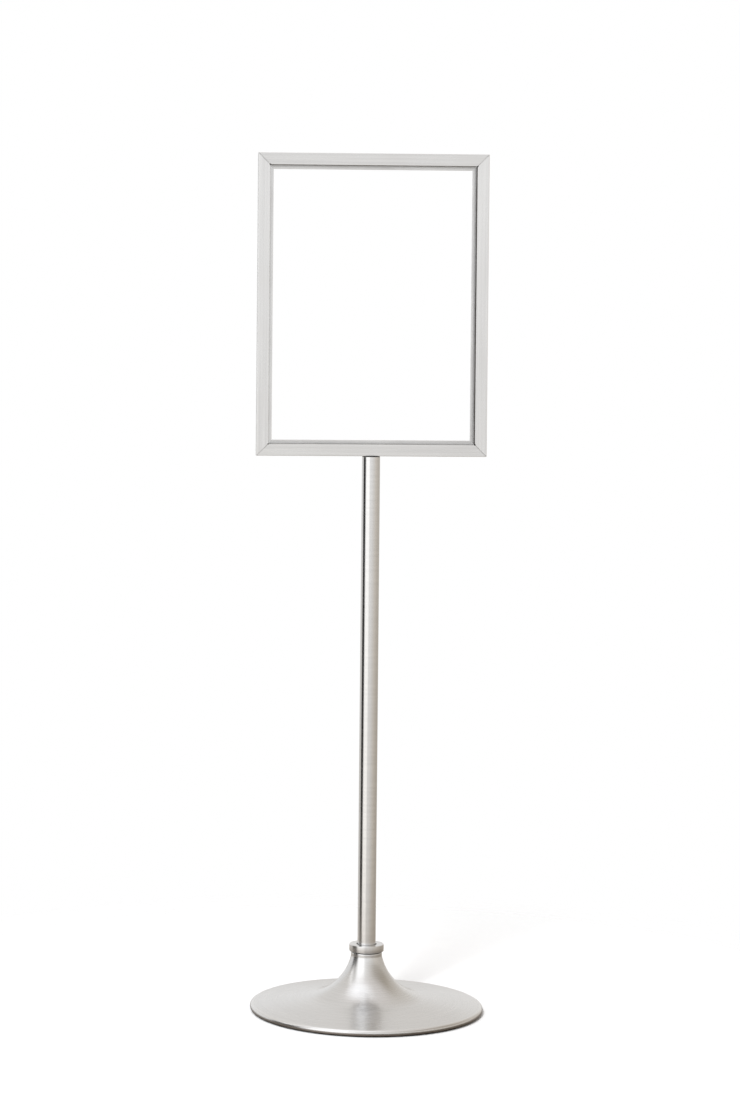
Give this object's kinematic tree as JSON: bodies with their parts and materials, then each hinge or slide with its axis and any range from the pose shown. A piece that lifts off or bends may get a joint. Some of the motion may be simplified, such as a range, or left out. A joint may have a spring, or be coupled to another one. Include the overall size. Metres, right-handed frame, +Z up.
{
  "type": "sign stand",
  "caption": "Free-standing sign holder: open mitred channel frame on a round post that turns in a weighted, trumpet-shaped round base; the top rail lifts off to change the sign.",
  "frame": {"origin": "on the floor under the post's axis", "axes": "+Z up along the post; -Y is the front, where the sign is read; +X to the reader's right"},
  "size_m": [0.326, 0.326, 1.2],
  "materials": {
    "brushed_steel": "fine brushing along each rail",
    "satin_steel": "satin, turned and polished",
    "spun_steel": "brushed in circles",
    "zinc_steel": "zinc-plated steel",
    "screw_steel": "plain stainless fasteners",
    "bearing_plastic": "natural nylon",
    "cast_iron": "as cast, painted dark",
    "rubber": "matt black"
  },
  "bodies": {
    "base": {"base_cover": "spun_steel", "base_weight": "cast_iron", "bottom_pad": "rubber", "post_socket": "zinc_steel", "socket_screws": "screw_steel", "thrust_washer": "bearing_plastic", "base_washer": "screw_steel", "neck_ring": "satin_steel", "post_lock_screw": "screw_steel"},
    "post_and_frame": {"post_tube": "satin_steel", "post_top_plug": "zinc_steel", "post_foot_plug": "zinc_steel", "base_bolt": "screw_steel", "frame_gasket": "rubber", "frame_screw": "screw_steel", "saddle_plate": "zinc_steel", "bottom_rail": "brushed_steel", "left_rail": "brushed_steel", "right_rail": "brushed_steel", "bottom_left_corner_key": "zinc_steel", "bottom_right_corner_key": "zinc_steel", "bottom_key_screws": "screw_steel", "side_lock_screws": "screw_steel"},
    "lift_off_rail": {"top_rail": "brushed_steel", "top_left_corner_key": "zinc_steel", "top_right_corner_key": "zinc_steel", "top_key_screws": "screw_steel"}
  },
  "joints": [
    {"name": "post_turn", "type": "hinge", "parent": "base", "child": "post_and_frame", "pos_m": [0, 0, 0.085], "axis": [0, 0, 1], "continuous": true},
    {"name": "top_rail_lift", "type": "slide", "parent": "post_and_frame", "child": "lift_off_rail", "axis": [0, 0, 1], "range_m": [0, 0.05]}
  ]
}
